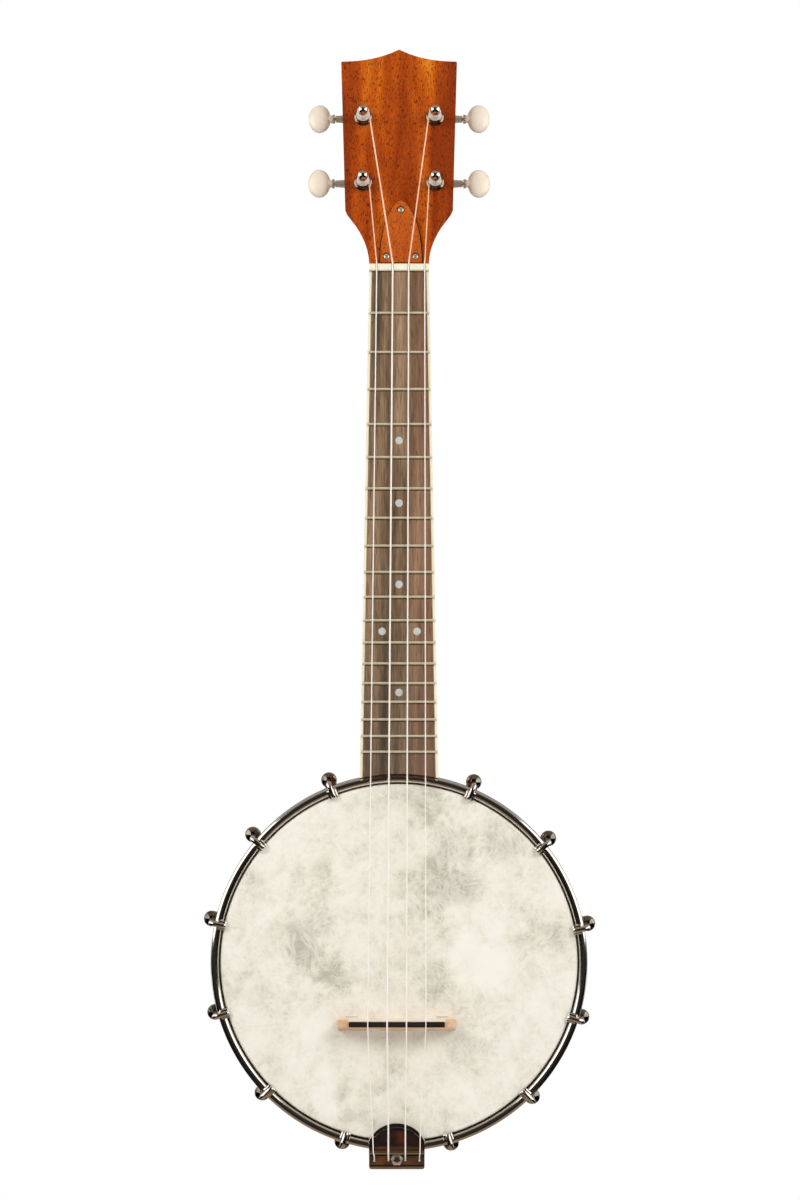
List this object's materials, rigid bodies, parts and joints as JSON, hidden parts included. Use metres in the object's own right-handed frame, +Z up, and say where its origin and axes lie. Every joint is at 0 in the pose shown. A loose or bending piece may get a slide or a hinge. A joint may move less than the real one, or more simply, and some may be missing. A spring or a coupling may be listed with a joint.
{
  "type": "banjo ukulele",
  "caption": "Tenor banjo ukulele: wooden neck with geared tuners, round drum head under a metal tension hoop on a wooden rim, footed bridge and bent metal tailpiece.",
  "frame": {"origin": "centre of the drum head's playing face", "axes": "+Z runs up the instrument from the head towards the headstock, +Y runs back through the pot, +X is to the right of someone who faces the head"},
  "size_m": [0.2294, 0.0744, 0.6569],
  "materials": {
    "mahogany": "satin lacquer",
    "board_wood": "oiled",
    "rim_maple": "satin lacquer",
    "ebony": "polished",
    "binding": "polished",
    "button": "moulded",
    "pearl": "polished",
    "nylon": "drawn",
    "drum_head": "mottled film",
    "chrome_plate": "polished plate",
    "nickel_plate": "polished plate",
    "fret_wire": "polished",
    "steel_rod": "drawn"
  },
  "bodies": {
    "root": {"neck": "mahogany", "fingerboard": "board_wood", "binding_left": "binding", "binding_right": "binding", "nut": "binding", "truss_rod_cover": "mahogany", "truss_rod": "steel_rod", "tuner_bushing_low_left": "nickel_plate", "tuner_bushing_high_left": "nickel_plate", "tuner_bushing_high_right": "nickel_plate", "tuner_bushing_low_right": "nickel_plate", "tuner_housing_low_left": "nickel_plate", "tuner_housing_high_left": "nickel_plate", "tuner_housing_high_right": "nickel_plate", "tuner_housing_low_right": "nickel_plate", "string_1": "nylon", "string_2": "nylon", "string_3": "nylon", "string_4": "nylon", "bridge": "rim_maple", "bridge_saddle": "ebony", "tailpiece": "chrome_plate", "tailpiece_hanger": "nickel_plate", "rim": "rim_maple", "head": "drum_head", "flesh_hoop": "nickel_plate", "tension_hoop": "chrome_plate", "coordinator_rod": "steel_rod", "hook_01": "chrome_plate", "hook_02": "chrome_plate", "hook_03": "chrome_plate", "hook_04": "chrome_plate", "hook_05": "chrome_plate", "hook_06": "chrome_plate", "hook_07": "chrome_plate", "hook_08": "chrome_plate", "hook_09": "chrome_plate", "hook_10": "chrome_plate", "hook_11": "chrome_plate", "hook_12": "chrome_plate", "shoe_01": "chrome_plate", "shoe_02": "chrome_plate", "shoe_03": "chrome_plate", "shoe_04": "chrome_plate", "shoe_05": "chrome_plate", "shoe_06": "chrome_plate", "shoe_07": "chrome_plate", "shoe_08": "chrome_plate", "shoe_09": "chrome_plate", "shoe_10": "chrome_plate", "shoe_11": "chrome_plate", "shoe_12": "chrome_plate"},
    "knob_low_left": {"tuner_knob_low_left": "button"},
    "post_low_left": {"tuner_post_low_left": "nickel_plate"},
    "knob_high_left": {"tuner_knob_high_left": "button"},
    "post_high_left": {"tuner_post_high_left": "nickel_plate"},
    "knob_high_right": {"tuner_knob_high_right": "button"},
    "post_high_right": {"tuner_post_high_right": "nickel_plate"},
    "knob_low_right": {"tuner_knob_low_right": "button"},
    "post_low_right": {"tuner_post_low_right": "nickel_plate"}
  },
  "joints": [
    {"name": "knob_low_left_turn", "type": "hinge", "parent": "root", "child": "knob_low_left", "pos_m": [-0.0211, 0.04434, 0.45658], "axis": [1, 0, 0], "continuous": true},
    {"name": "post_low_left_turn", "type": "hinge", "parent": "root", "child": "post_low_left", "pos_m": [-0.0211, 0.0248, 0.45489], "axis": [0, 0.9724, -0.2334], "continuous": true},
    {"name": "knob_high_left_turn", "type": "hinge", "parent": "root", "child": "knob_high_left", "pos_m": [-0.0211, 0.05384, 0.49616], "axis": [1, 0, 0], "continuous": true},
    {"name": "post_high_left_turn", "type": "hinge", "parent": "root", "child": "post_high_left", "pos_m": [-0.0211, 0.0343, 0.49447], "axis": [0, 0.9724, -0.2334], "continuous": true},
    {"name": "knob_high_right_turn", "type": "hinge", "parent": "root", "child": "knob_high_right", "pos_m": [0.0211, 0.05384, 0.49616], "axis": [1, 0, 0], "continuous": true},
    {"name": "post_high_right_turn", "type": "hinge", "parent": "root", "child": "post_high_right", "pos_m": [0.0211, 0.0343, 0.49447], "axis": [0, 0.9724, -0.2334], "continuous": true},
    {"name": "knob_low_right_turn", "type": "hinge", "parent": "root", "child": "knob_low_right", "pos_m": [0.0211, 0.04434, 0.45658], "axis": [1, 0, 0], "continuous": true},
    {"name": "post_low_right_turn", "type": "hinge", "parent": "root", "child": "post_low_right", "pos_m": [0.0211, 0.0248, 0.45489], "axis": [0, 0.9724, -0.2334], "continuous": true}
  ],
  "couplings": [
    {"joint": "post_low_left_turn", "follows": "knob_low_left_turn", "ratio": 0.071429},
    {"joint": "post_high_left_turn", "follows": "knob_high_left_turn", "ratio": 0.071429},
    {"joint": "post_high_right_turn", "follows": "knob_high_right_turn", "ratio": -0.071429},
    {"joint": "post_low_right_turn", "follows": "knob_low_right_turn", "ratio": -0.071429}
  ]
}
